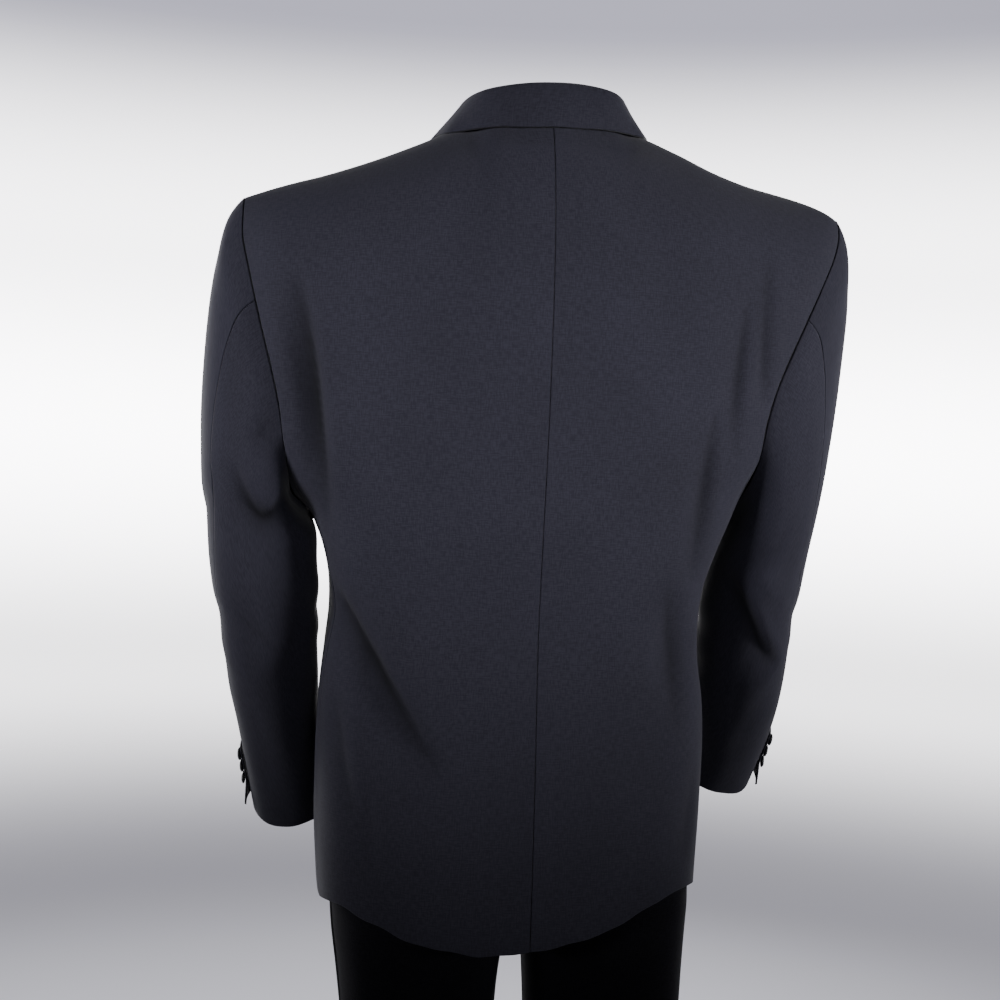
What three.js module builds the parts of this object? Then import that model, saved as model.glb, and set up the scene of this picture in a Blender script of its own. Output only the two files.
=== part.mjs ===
import * as THREE from "three";

// A man's evening suit as it is worn: a one-button jacket and its trousers, both hollow.
// Millimetres. +X is the wearer's left, -Y is the front and +Z is up. The origin is at the nape.

// Driving sizes
const clothWall = 1.8; // worsted with its backing
const satinWall = 1.2;
const braidWall = 0.8;
const seamGap = 0.3;
const armholeGap = 1.0;
const sideLine = 6; // y of the shoulder line and of the widest line of the body
const fullest = -190; // height of the shoulder blades and of the full chest
const hemLevel = -700;
const hemBend = 100; // the levels bend to the hem over this height
const neckHalfWidth = 75;
const neckBackDepth = 71;
const shoulderRound = 2.1; // exponent of the roll from the shoulder line to the blades
const overlap = 18; // the left front passes the middle by this much

const fineWool = new THREE.MeshStandardMaterial({ color: 0x24252e, roughness: 0.9, metalness: 0 });
const trouserWool = new THREE.MeshStandardMaterial({ color: 0x121217, roughness: 0.92, metalness: 0 });
const satin = new THREE.MeshStandardMaterial({ color: 0x0d0d11, roughness: 0.4, metalness: 0 });
const buttonCloth = new THREE.MeshStandardMaterial({ color: 0x0b0b0e, roughness: 0.45, metalness: 0 });

const suit = new THREE.Group();

// Half widths to each side, depths from the side line and roundness of the jacket's level sections
const bodyRows = [
  { z: 60, left: 278, right: 290, back: 123, front: 118, round: 2.3 },
  { z: -70, left: 278, right: 290, back: 123, front: 118, round: 2.3 },
  { z: -130, left: 276, right: 284, back: 123, front: 118, round: 2.3 },
  { z: -174, left: 270, right: 274, back: 123, front: 118, round: 2.3 },
  { z: -222, left: 264, right: 254, back: 122, front: 124, round: 2.3 },
  { z: -260, left: 256, right: 238, back: 121, front: 128, round: 2.3 },
  { z: -290, left: 246, right: 222, back: 119, front: 128, round: 2.35 },
  { z: -318, left: 226, right: 200, back: 116, front: 128, round: 2.5 },
  { z: -346, left: 202, right: 186, back: 113, front: 126, round: 2.7 },
  { z: -375, left: 189, right: 174, back: 110, front: 124, round: 2.8 },
  { z: -405, left: 182.5, right: 164.5, back: 107, front: 122, round: 2.8 },
  { z: -435, left: 181, right: 161, back: 105, front: 122, round: 2.7 },
  { z: -463, left: 183.5, right: 161.5, back: 106, front: 124, round: 2.65 },
  { z: -510, left: 187.7, right: 168, back: 111, front: 127, round: 2.6 },
  { z: -555, left: 188.7, right: 170, back: 116, front: 128, round: 2.6 },
  { z: -616, left: 188, right: 168, back: 121, front: 128, round: 2.6 },
  { z: -680, left: 184.7, right: 166, back: 124, front: 126, round: 2.6 },
  { z: -720, left: 180, right: 164, back: 125, front: 125, round: 2.6 },
];

// Height of the back's hem over its distance from the middle, as a part of the half width
const hemRows = [
  { across: 0, left: -715, right: -715 },
  { across: 0.14, left: -717.5, right: -711 },
  { across: 0.25, left: -717, right: -707 },
  { across: 0.34, left: -715.5, right: -702 },
  { across: 0.47, left: -713, right: -693 },
  { across: 0.59, left: -708.5, right: -685 },
  { across: 0.7, left: -701.5, right: -679 },
  { across: 0.8, left: -695, right: -675 },
  { across: 0.88, left: -691, right: -673.5 },
  { across: 0.94, left: -691, right: -676 },
  { across: 1, left: -697, right: -684 },
];

// Height of the shoulder line over each distance from the middle; its first rows are inside the neck
const shoulderRows = [
  { x: 0, left: 45, right: 46 },
  { x: 40, left: 26, right: 29 },
  { x: 75, left: 2, right: 8 },
  { x: 109, left: -13, right: -4 },
  { x: 163, left: -35.5, right: -26.5 },
  { x: 196, left: -47.5, right: -36 },
  { x: 232, left: -58, right: -43 },
  { x: 266, left: -70, right: -52 },
  { x: 282, left: -76, right: -60 },
  { x: 300, left: -84, right: -72 },
];

// Where the armhole seam runs, from the shoulder to the side panels: its distance from the middle
const armholeRows = [
  { z: -40, leftBack: 266, rightBack: 284, leftFront: 266, rightFront: 284 },
  { z: -70, leftBack: 265.5, rightBack: 281, leftFront: 264, rightFront: 279 },
  { z: -108, leftBack: 264, rightBack: 266, leftFront: 250, rightFront: 258 },
  { z: -130, leftBack: 259, rightBack: 253, leftFront: 238, rightFront: 240 },
  { z: -174, leftBack: 248, rightBack: 231, leftFront: 220, rightFront: 216 },
  { z: -222, leftBack: 235, rightBack: 211, leftFront: 209, rightFront: 200 },
  { z: -260, leftBack: 226, rightBack: 202, leftFront: 207, rightFront: 195 },
  { z: -290, leftBack: 221, rightBack: 196, leftFront: 210, rightFront: 194 },
];

// How far behind and before the side line the side seams run
const sideSeamRows = [
  { z: -290, back: 62, front: 74 },
  { z: -340, back: 42, front: 66 },
  { z: -400, back: 33, front: 62 },
  { z: -555, back: 34, front: 64 },
  { z: -720, back: 36, front: 66 },
];

// Inner edge of a front: the roll line down to the button, then the closing and the rounded corner
const frontEdgeRows = [
  { z: 20, x: 76 },
  { z: 0, x: 75 },
  { z: -60, x: 69 },
  { z: -120, x: 60 },
  { z: -200, x: 44 },
  { z: -290, x: 20 },
  { z: -360, x: -8 },
  { z: -398, x: -overlap },
  { z: -450, x: -overlap },
  { z: -520, x: -14 },
  { z: -590, x: 2 },
  { z: -645, x: 24 },
  { z: -675, x: 46 },
  { z: -692, x: 72 },
  { z: -700, x: 104 },
];

const panelLevels = [-222, -256, -290, -318, -346, -375, -405, -435, -470, -510, -555, -600, -640, -670, -688, hemLevel];
const armholeLevels = 3; // the first of them end on the armhole
const rollParts = [1, 0.82, 0.64, 0.46, 0.28, 0.11, 0]; // of the turn over the shoulder
const rollSteps = rollParts.length - 1;
const backAcross = [0, 0.06, 0.12, 0.18, 0.28, 0.39, 0.5, 0.6, 0.7, 0.8, 0.9, 1];
const frontAcross = [0, 0.1, 0.21, 0.32, 0.43, 0.54, 0.65, 0.76, 0.88, 1];
const sideSteps = 5;
const underarmDrop = 56;

// The largest folds of the jacket's body: a soft trough from one point to the other
const bodyFolds = [
  { side: 1, fromX: 212, fromZ: -160, toX: 186, toZ: -338, depth: 3.5, width: 13 },
  { side: 1, fromX: 180, fromZ: -402, toX: 100, toZ: -545, depth: 5, width: 15 },
  { side: -1, fromX: 176, fromZ: -190, toX: 138, toZ: -387, depth: 2.5, width: 16 },
  { side: -1, fromX: 134, fromZ: -425, toX: 108, toZ: -500, depth: 3, width: 16 },
];

// A smooth curve through one column of a table, with no swing past its rows
function follow(rows, along, name, at) {
  const places = rows.map((row) => row[along]);
  const values = rows.map((row) => row[name]);
  const rising = places[places.length - 1] > places[0] ? 1 : -1;
  const last = places.length - 1;
  if ((at - places[0]) * rising <= 0) return values[0];
  if ((at - places[last]) * rising >= 0) return values[last];
  let i = 0;
  while ((at - places[i + 1]) * rising > 0) i++;
  const secant = (k) => (values[k + 1] - values[k]) / (places[k + 1] - places[k]);
  const slope = (k) => {
    if (k === 0) return secant(0);
    if (k === last) return secant(last - 1);
    const before = secant(k - 1);
    const after = secant(k);
    return before * after <= 0 ? 0 : (2 * before * after) / (before + after);
  };
  const span = places[i + 1] - places[i];
  const t = (at - places[i]) / span;
  const keep = 1 - t;
  return (
    values[i] * keep * keep * (1 + 2 * t) +
    values[i + 1] * t * t * (3 - 2 * t) +
    span * t * keep * (slope(i) * keep - slope(i + 1) * t)
  );
}

const sideName = (side) => (side > 0 ? "left" : "right");
const mix = THREE.MathUtils.lerp;
const smooth = (t) => THREE.MathUtils.smoothstep(t, 0, 1);

// Depth of the folds at one place of the body
function foldDepth(side, facing, x, z) {
  if (facing < 0) return 0;
  return bodyFolds.reduce((sum, fold) => {
    if (fold.side !== side) return sum;
    const runX = fold.toX - fold.fromX;
    const runZ = fold.toZ - fold.fromZ;
    const length = Math.hypot(runX, runZ);
    const along = ((x - fold.fromX) * runX + (z - fold.fromZ) * runZ) / length / length;
    const off = ((x - fold.fromX) * runZ - (z - fold.fromZ) * runX) / length;
    if (along <= 0 || along >= 1) return sum;
    return sum - fold.depth * Math.sin(Math.PI * along) * Math.exp(-((off / fold.width) ** 2));
  }, 0);
}

// Angle on a level section, from the middle round to the side, at which it is x wide
function angleOfWidth(side, z, x) {
  const half = follow(bodyRows, "z", sideName(side), z);
  const power = follow(bodyRows, "z", "round", z) / 2;
  return Math.sign(x) * Math.asin(Math.min(1, Math.abs(x) / half) ** power);
}

// A point of the body's form. facing is 1 on the back and -1 on the front; roll is the angle over the shoulder.
function bodyPoint(side, facing, angle, level, roll = 0) {
  const lift = Math.sin(roll) ** (2 / shoulderRound);
  let z = level;
  let x = 0;
  for (let pass = 0; pass < 6; pass++) {
    const power = 2 / follow(bodyRows, "z", "round", z);
    x = follow(bodyRows, "z", sideName(side), z) * Math.sign(angle) * Math.abs(Math.sin(angle)) ** power;
    if (roll > 0) z = mix(fullest, follow(shoulderRows, "x", sideName(side), Math.abs(x)), lift);
  }
  const power = follow(bodyRows, "z", "round", z);
  const half = follow(bodyRows, "z", sideName(side), z);
  const deep = follow(bodyRows, "z", facing > 0 ? "back" : "front", Math.min(z, fullest));
  const fall = Math.max(0, Math.cos(roll)) ** (2 / shoulderRound);
  const out = deep * Math.max(0, Math.cos(angle)) ** (2 / power) * fall;
  const normalX = (Math.sign(x) * (Math.abs(x) / half) ** (power - 1)) / half;
  const normalY = (out / deep) ** (power - 1) / deep;
  const fold = foldDepth(side, facing, x, z) / Math.hypot(normalX, normalY);
  return new THREE.Vector3(side * (x + normalX * fold), sideLine + facing * (out + normalY * fold), z);
}

// Angle at which the body's row meets a curve given as a distance from the middle at each height
function angleOnCurve(side, facing, level, roll, curve) {
  let angle = angleOfWidth(side, level, curve(level));
  for (let pass = 0; pass < 6; pass++) {
    const z = bodyPoint(side, facing, angle, level, roll).z;
    angle = angleOfWidth(side, z, curve(z));
  }
  return angle;
}

// Angle of the outer edge of a back or front: the armhole, and below it the side seam
function outerAngle(side, facing, level, roll) {
  const half = facing > 0 ? "Back" : "Front";
  if (level > armholeRows[armholeRows.length - 1].z || roll > 0) {
    return angleOnCurve(side, facing, level, roll, (z) => follow(armholeRows, "z", sideName(side) + half, z));
  }
  const away = follow(sideSeamRows, "z", half.toLowerCase(), level);
  const deep = follow(bodyRows, "z", half.toLowerCase(), level);
  const power = follow(bodyRows, "z", "round", level);
  return Math.acos((away / deep) ** (power / 2));
}

// Turns a length along a level section into an angle there
function angleOfLength(side, facing, angle, level, roll, length) {
  const step = 0.01;
  const here = bodyPoint(side, facing, angle, level, roll);
  return (length * step) / here.distanceTo(bodyPoint(side, facing, angle - step, level, roll));
}

// The last levels of the back bend to its hem
function hemShift(side, angle, level) {
  const bend = Math.max(0, (hemLevel + hemBend - level) / hemBend);
  const half = follow(bodyRows, "z", sideName(side), level);
  const across = Math.abs(bodyPoint(side, 1, angle, level).x) / half;
  return bend * (follow(hemRows, "across", sideName(side), across) - hemLevel);
}

// Direction of a line of points at one of them; at an end, that of the arc through the last three
function tangent(points, k) {
  const last = points.length - 1;
  if (k > 0 && k < last) return points[k + 1].clone().sub(points[k - 1]);
  const step = k === 0 ? 1 : -1;
  const near = points[k + step];
  const direction = near.clone().sub(points[k]);
  if (last > 1) {
    const far = points[k + 2 * step];
    const first = near.distanceTo(points[k]);
    const second = far.distanceTo(near);
    direction.multiplyScalar((first + second) / first / second);
    direction.addScaledVector(far.clone().sub(points[k]), -first / second / (first + second));
  }
  return direction.multiplyScalar(step);
}

// Normals of a grid of points, pointing away from what is inside: a point, or one for each place
function gridNormals(grid, inside) {
  const columns = grid[0].map((_, j) => grid.map((row) => row[j]));
  const normals = grid.map((row, i) =>
    row.map((point, j) => {
      const normal = tangent(columns[j], i).cross(tangent(row, j));
      if (Math.abs(point.x) < seamGap) normal.x = 0; // square to the middle seams
      return normal.normalize();
    }),
  );
  let facingOut = 0;
  grid.forEach((row, i) =>
    row.forEach((point, j) => {
      const behind = typeof inside === "function" ? inside(point) : inside;
      facingOut += point.clone().sub(behind).normalize().dot(normals[i][j]);
    }),
  );
  if (facingOut < 0) normals.forEach((row) => row.forEach((normal) => normal.negate()));
  return normals;
}

// Gives two panels the same normals along the seam that joins them
function matchSeam(normalsA, columnA, normalsB, columnB, rowA = 0) {
  normalsB.forEach((row, i) => {
    const shared = row[columnB].clone().add(normalsA[i + rowA][columnA]).normalize();
    row[columnB].copy(shared);
    normalsA[i + rowA][columnA].copy(shared);
  });
}

// A closed wall under a grid of points of the outer face
function wallGeometry(grid, normals, thickness = clothWall) {
  const rows = grid.length;
  const cols = grid[0].length;
  const middle = [rows >> 1, cols >> 1];
  const down = grid[middle[0] + 1 < rows ? middle[0] + 1 : middle[0]][middle[1]].clone();
  down.sub(grid[middle[0] + 1 < rows ? middle[0] : middle[0] - 1][middle[1]]);
  const across = grid[middle[0]][middle[1]].clone().sub(grid[middle[0]][middle[1] - 1]);
  const sign = down.cross(across).dot(normals[middle[0]][middle[1]]) < 0 ? -1 : 1;
  const positions = [];
  grid.forEach((row) => row.forEach((point) => positions.push(...point.toArray())));
  grid.forEach((row, i) =>
    row.forEach((point, j) => {
      positions.push(...point.clone().addScaledVector(normals[i][j], -thickness).toArray());
    }),
  );
  const outer = (i, j) => i * cols + j;
  const inner = (i, j) => rows * cols + i * cols + j;
  const index = [];
  const quad = (a, b, c, d) => {
    if (sign > 0) index.push(a, b, c, a, c, d);
    else index.push(a, c, b, a, d, c);
  };
  for (let i = 0; i < rows - 1; i++) {
    for (let j = 0; j < cols - 1; j++) {
      quad(outer(i, j), outer(i + 1, j), outer(i + 1, j + 1), outer(i, j + 1));
      quad(inner(i, j), inner(i, j + 1), inner(i + 1, j + 1), inner(i + 1, j));
    }
    quad(outer(i, 0), inner(i, 0), inner(i + 1, 0), outer(i + 1, 0));
    quad(outer(i, cols - 1), outer(i + 1, cols - 1), inner(i + 1, cols - 1), inner(i, cols - 1));
  }
  for (let j = 0; j < cols - 1; j++) {
    quad(outer(0, j), outer(0, j + 1), inner(0, j + 1), inner(0, j));
    quad(outer(rows - 1, j), inner(rows - 1, j), inner(rows - 1, j + 1), outer(rows - 1, j + 1));
  }
  const geometry = new THREE.BufferGeometry();
  geometry.setAttribute("position", new THREE.Float32BufferAttribute(positions, 3));
  geometry.setIndex(index);
  geometry.computeVertexNormals();
  return geometry;
}

function addPiece(name, geometry, material) {
  const piece = new THREE.Mesh(geometry, material);
  piece.name = name;
  suit.add(piece);
  return piece;
}

const bodyInside = (point) => new THREE.Vector3(point.x * 0.3, sideLine, Math.min(point.z - 60, -200));

// Back of the neckline: the roll at which a place of the body meets the neck's oval
function neckRoll(side, angle, level) {
  let roll = Math.PI / 2;
  for (let pass = 0; pass < 12; pass++) {
    const point = bodyPoint(side, 1, angle, level, roll);
    const across = Math.abs(point.x) / neckHalfWidth;
    if (across >= 1) return Math.PI / 2;
    const reach = neckBackDepth * Math.sqrt(1 - across * across);
    const full = bodyPoint(side, 1, angle, level, 0.001).y - sideLine;
    const next = Math.acos(Math.min(1, reach / full) ** (shoulderRound / 2));
    roll = mix(roll, next, 0.6);
  }
  return roll;
}

// Rows of a panel: the roll over the shoulder, then the levels down to the hem
function panelRows(side, facing, across, innerAngle) {
  const grid = [];
  for (let step = 0; step <= rollSteps; step++) {
    const part = rollParts[step];
    const outerRoll = part * (Math.PI / 2 - (step === 0 ? 0.01 : 0));
    const outer = outerAngle(side, facing, fullest, outerRoll);
    const inner = innerAngle(fullest, outerRoll);
    grid.push(
      across.map((u) => {
        const angle = mix(inner, outer, u);
        const top = facing > 0 ? neckRoll(side, angle, fullest) : Math.PI / 2;
        const roll = Math.min(part * top, Math.PI / 2 - 0.01);
        return bodyPoint(side, facing, angle, fullest, roll);
      }),
    );
  }
  panelLevels.forEach((level) => {
    let outer = outerAngle(side, facing, level, 0);
    if (level <= panelLevels[armholeLevels - 1]) {
      outer -= angleOfLength(side, facing, outer, level, 0, seamGap / 2);
    }
    const inner = innerAngle(level, 0);
    grid.push(
      across.map((u) => {
        const angle = mix(inner, outer, u);
        return bodyPoint(side, facing, angle, facing > 0 ? level + hemShift(side, angle, level) : level);
      }),
    );
  });
  return grid;
}

// The jacket's body: two backs joined at the middle, side panels, and fronts of which the right one passes under
const underLap = clothWall + 0.7;
const edges = {};

function sideGrid(side) {
  const top = panelLevels[armholeLevels - 1];
  const firstFull = panelLevels[armholeLevels + 2];
  return panelLevels.slice(armholeLevels - 1).map((level) =>
    Array.from({ length: sideSteps + 1 }, (_, step) => {
      const w = step / sideSteps;
      const dip = top - underarmDrop * Math.sin(Math.PI * w) ** 0.8;
      const z = level > firstFull ? mix(dip, firstFull, (top - level) / (top - firstFull)) : level;
      let back = outerAngle(side, 1, z, 0);
      const bent = z + hemShift(side, back, z) * (1 - smooth(w));
      back += angleOfLength(side, 1, back, z, 0, seamGap / 2);
      let front = outerAngle(side, -1, z, 0);
      front += angleOfLength(side, -1, front, z, 0, seamGap / 2);
      const turn = mix(back, Math.PI - front, w);
      return turn <= Math.PI / 2 ? bodyPoint(side, 1, turn, bent) : bodyPoint(side, -1, Math.PI - turn, bent);
    }),
  );
}

for (const side of [1, -1]) {
  const middle = (level, roll) => angleOnCurve(side, 1, level, roll, () => seamGap / 2);
  const edge = (level, roll) => angleOnCurve(side, -1, level, roll, (z) => follow(frontEdgeRows, "z", "x", z));
  const back = panelRows(side, 1, backAcross, middle);
  const front = panelRows(side, -1, frontAcross, edge);
  const under = sideGrid(side);
  edges[side] = {
    back: back.map((row) => row[row.length - 1]),
    front: front.map((row) => row[row.length - 1]),
    under: under[0].slice(1, -1),
  };
  if (side < 0) {
    front.forEach((row) =>
      row.forEach((point) => {
        point.y += underLap * (1 - smooth((-point.x - overlap) / 40));
      }),
    );
  }
  const backNormals = gridNormals(back, bodyInside);
  const frontNormals = gridNormals(front, bodyInside);
  const underNormals = gridNormals(under, bodyInside);
  const firstShared = rollSteps + armholeLevels;
  matchSeam(backNormals, backAcross.length - 1, underNormals, 0, firstShared);
  matchSeam(frontNormals, frontAcross.length - 1, underNormals, sideSteps, firstShared);
  addPiece("jacket_back_" + sideName(side), wallGeometry(back, backNormals), fineWool);
  addPiece("jacket_side_" + sideName(side), wallGeometry(under, underNormals), fineWool);
  addPiece("jacket_front_" + sideName(side), wallGeometry(front, frontNormals), fineWool);
}

// Middle line and half sizes of the sleeves below the cap. tilt is how much higher the outer side of a ring is.
const sleeveRows = {
  1: [
    { z: -350, x: 245.5, y: 8, across: 49.5, deep: 65, tilt: 26, hind: 40, fore: 232 },
    { z: -388, x: 241.5, y: 6, across: 48, deep: 62, tilt: 13, hind: 36, fore: 230 },
    { z: -425, x: 237, y: 2, across: 47, deep: 58, tilt: 5, hind: 32, fore: 228 },
    { z: -462, x: 233, y: -7, across: 45, deep: 55, tilt: 0, hind: 29, fore: 226 },
    { z: -500, x: 231, y: -25, across: 42, deep: 51, tilt: 0, hind: 25, fore: 224 },
    { z: -538, x: 227, y: -47, across: 40, deep: 48, tilt: 0, hind: 21, fore: 222 },
    { z: -575, x: 221, y: -70, across: 40.5, deep: 46, tilt: 0, hind: 17, fore: 220 },
    { z: -610, x: 215.5, y: -91, across: 41, deep: 44, tilt: 0, hind: 13, fore: 220 },
    { z: -646, x: 210.5, y: -112, across: 41, deep: 42, tilt: 0, hind: 10, fore: 220 },
  ],
  [-1]: [
    { z: -350, x: 229, y: 6, across: 41, deep: 65, tilt: 26, hind: 53, fore: 232 },
    { z: -385, x: 223, y: 3, across: 42.5, deep: 62, tilt: 12, hind: 50, fore: 230 },
    { z: -420, x: 219, y: -4, across: 44, deep: 59, tilt: 4, hind: 43, fore: 228 },
    { z: -455, x: 218, y: -16, across: 45, deep: 56, tilt: 0, hind: 36, fore: 226 },
    { z: -488, x: 219.5, y: -33, across: 45, deep: 54, tilt: 0, hind: 29, fore: 224 },
    { z: -520, x: 221.5, y: -53, across: 45, deep: 52, tilt: 0, hind: 23, fore: 222 },
    { z: -552, x: 222, y: -75, across: 45, deep: 49, tilt: -1, hind: 18, fore: 220 },
    { z: -580, x: 220.5, y: -95, across: 44.5, deep: 47, tilt: -3, hind: 15, fore: 220 },
    { z: -606, x: 218, y: -112, across: 44, deep: 45, tilt: -6, hind: 13, fore: 220 },
  ],
};
const capSteps = 6;
const hindStart = 5; // the hindarm seam leaves the armhole at this row of the back
const foreStart = 15; // and the forearm seam at this place of the armhole's round
const capPull = { 1: 90, [-1]: 74 };
const armPull = 250;

// The armhole's round: down the back, under the arm and up the front
function armholeLoop(side) {
  const { back, under, front } = edges[side];
  const count = rollSteps + armholeLevels + 1;
  return [...back.slice(0, count), ...under, ...front.slice(1, count).reverse()];
}

// Frame of one ring of a sleeve: its middle, and the directions out, back and along the arm
function ringFrame(side, k) {
  const rows = sleeveRows[side];
  const middle = (row) => new THREE.Vector3(side * row.x, row.y, row.z);
  const before = middle(rows[Math.max(0, k - 1)]);
  const after = middle(rows[Math.min(rows.length - 1, k + 1)]);
  const along = after.sub(before).normalize();
  const out = new THREE.Vector3(side, 0, 0);
  out.addScaledVector(along, -out.dot(along)).normalize();
  const rear = new THREE.Vector3().crossVectors(out, along).multiplyScalar(side);
  if (rear.y < 0) rear.negate();
  return { centre: middle(rows[k]), along, out, rear };
}

function ringPoint(side, k, degrees) {
  const row = sleeveRows[side][k];
  const { centre, along, out, rear } = ringFrame(side, k);
  const turn = THREE.MathUtils.degToRad(degrees);
  return centre
    .addScaledVector(out, row.across * Math.cos(turn))
    .addScaledVector(rear, row.deep * Math.sin(turn))
    .addScaledVector(along, -row.tilt * Math.cos(turn));
}

// One line down a sleeve: over the cap from its place on the armhole, then along the arm
function sleeveLine(side, start, part, upper, loopHeight) {
  const rows = sleeveRows[side];
  const degreesAt = (row) => {
    const trim = ((seamGap / 2 / row.deep) * 180) / Math.PI;
    return upper ? mix(row.hind - trim, row.fore - 360 + trim, part) : mix(row.hind + trim, row.fore - trim, part);
  };
  const rise = smooth(loopHeight / 0.4);
  const leave = new THREE.Vector3(side * mix(0.1, 1, rise), 0, mix(-1, -0.3, rise)).normalize();
  const arrive = ringPoint(side, 0, degreesAt(rows[0]));
  const reach = start.distanceTo(arrive);
  const pull = Math.min(capPull[side], reach * 0.9);
  const settle = Math.min(armPull, reach * 0.9);
  const line = [];
  for (let step = 0; step < capSteps; step++) {
    const t = step / capSteps;
    const keep = 1 - t;
    const point = start.clone().multiplyScalar(keep * keep * (1 + 2 * t));
    point.addScaledVector(leave, pull * t * keep * keep);
    point.addScaledVector(arrive, t * t * (3 - 2 * t));
    point.addScaledVector(ringFrame(side, 0).along, -settle * t * t * keep);
    line.push(point);
  }
  rows.forEach((row, k) => line.push(ringPoint(side, k, degreesAt(row))));
  return line;
}

function sleeveGrid(side, upper) {
  const loop = armholeLoop(side);
  const picked = [];
  if (upper) for (let k = hindStart; k >= foreStart - loop.length; k--) picked.push((k + loop.length) % loop.length);
  else for (let k = hindStart; k <= foreStart; k++) picked.push(k);
  const lengths = [0];
  picked.slice(1).forEach((k, n) => lengths.push(lengths[n] + loop[k].distanceTo(loop[picked[n]])));
  const whole = lengths[lengths.length - 1];
  const low = Math.min(...loop.map((point) => point.z));
  const high = Math.max(...loop.map((point) => point.z));
  const lines = picked.map((k, n) => {
    const height = (loop[k].z - low) / (high - low);
    const start = loop[k].clone();
    start.x += side * armholeGap;
    const along = n === 0 ? 1 : n === picked.length - 1 ? -1 : 0;
    if (along !== 0) {
      const next = loop[picked[n + along]];
      start.addScaledVector(next.clone().sub(loop[k]).normalize(), seamGap / 2);
    }
    return sleeveLine(side, start, lengths[n] / whole, upper, height);
  });
  return lines[0].map((_, row) => lines.map((line) => line[row]));
}

for (const side of [1, -1]) {
  const rows = sleeveRows[side];
  const armInside = (point) => {
    const z = THREE.MathUtils.clamp(point.z, rows[rows.length - 1].z, rows[0].z);
    const y = follow(rows, "z", "y", z);
    return new THREE.Vector3(side * (follow(rows, "z", "x", z) - 4), y, point.z - 20);
  };
  const upper = sleeveGrid(side, true);
  const under = sleeveGrid(side, false);
  const upperNormals = gridNormals(upper, armInside);
  const underNormals = gridNormals(under, armInside);
  matchSeam(upperNormals, 0, underNormals, 0);
  matchSeam(upperNormals, upper[0].length - 1, underNormals, under[0].length - 1);
  addPiece("sleeve_upper_" + sideName(side), wallGeometry(upper, upperNormals), fineWool);
  addPiece("sleeve_under_" + sideName(side), wallGeometry(under, underNormals), fineWool);
}

// A place on the body's form at x from the middle and at a height, and the same raised off the cloth
function onBody(side, facing, x, z) {
  if (z <= fullest) return bodyPoint(side, facing, angleOfWidth(side, z, x), z);
  const ridge = follow(shoulderRows, "x", sideName(side), Math.abs(x));
  const lift = Math.min(1, (z - fullest) / (ridge - fullest));
  const roll = Math.min(Math.asin(lift ** (shoulderRound / 2)), Math.PI / 2 - 0.01);
  return bodyPoint(side, facing, angleOfWidth(side, z, x), fullest, roll);
}

function raised(side, facing, x, z, height) {
  const step = 2;
  const across = onBody(side, facing, x + step, z).sub(onBody(side, facing, x - step, z));
  const down = onBody(side, facing, x, z + step).sub(onBody(side, facing, x, z - step));
  const normal = across.cross(down).normalize();
  if (normal.y * facing < 0) normal.negate();
  return onBody(side, facing, x, z).addScaledVector(normal, height);
}

function rolledPlace(side, facing, x, degrees, height) {
  const roll = Math.min(THREE.MathUtils.degToRad(degrees), Math.PI / 2 - 0.01);
  const step = 0.02;
  const at = (width, turn) =>
    bodyPoint(side, facing, angleOnCurve(side, facing, fullest, turn, () => width), fullest, turn);
  const point = at(x, roll);
  const across = at(x + 1, roll).sub(at(Math.max(0, x - 1), roll));
  const along = at(x, roll - step).sub(point);
  const normal = across.cross(along).normalize();
  if (normal.z < 0) normal.negate();
  return point.addScaledVector(normal, height);
}

// Collar, from the middle of the back to the notch: where its foot, its fold and the edge of its fall lie
const collarLift = 2.6;
const foldRadius = 3.2;
const collarRows = [
  { facing: 1, foot: 0, footRoll: 0, foldX: 0, foldY: 81, foldZ: 31, edge: 0, edgeRoll: 49 },
  { facing: 1, foot: 19, footRoll: 0, foldX: 21, foldY: 78.5, foldZ: 31, edge: 22, edgeRoll: 51.9 },
  { facing: 1, foot: 37, footRoll: 0, foldX: 40, foldY: 71.5, foldZ: 30.5, edge: 42, edgeRoll: 56.2 },
  { facing: 1, foot: 53, footRoll: 0, foldX: 56, foldY: 59, foldZ: 30, edge: 60, edgeRoll: 62.4 },
  { facing: 1, foot: 65, footRoll: 0, foldX: 67, foldY: 42, foldZ: 29, edge: 76, edgeRoll: 69.4 },
  { facing: 1, foot: 72.5, footRoll: 0, foldX: 73, foldY: 22, foldZ: 28, edge: 89, edgeRoll: 75.6 },
  { facing: 1, foot: 74.9, footRoll: 90, foldX: 75, foldY: 2, foldZ: 26, edge: 98, edgeRoll: 88 },
  { facing: -1, foot: 74.5, footRoll: 76, foldX: 77, foldY: -26, foldZ: 16, edge: 104, edgeRoll: 76 },
  { facing: -1, foot: 73.5, footRoll: 62, foldX: 77, foldY: -55, foldZ: 0, edge: 108, edgeRoll: 63 },
  { facing: -1, foot: 71.5, footRoll: 50, foldX: 76, foldY: -77, foldZ: -27, edge: 110, edgeRoll: 53 },
  { facing: -1, foot: 70.5, footRoll: 42, foldX: 75, foldY: -88, foldZ: -51, edge: 108, edgeRoll: 46 },
];

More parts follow.
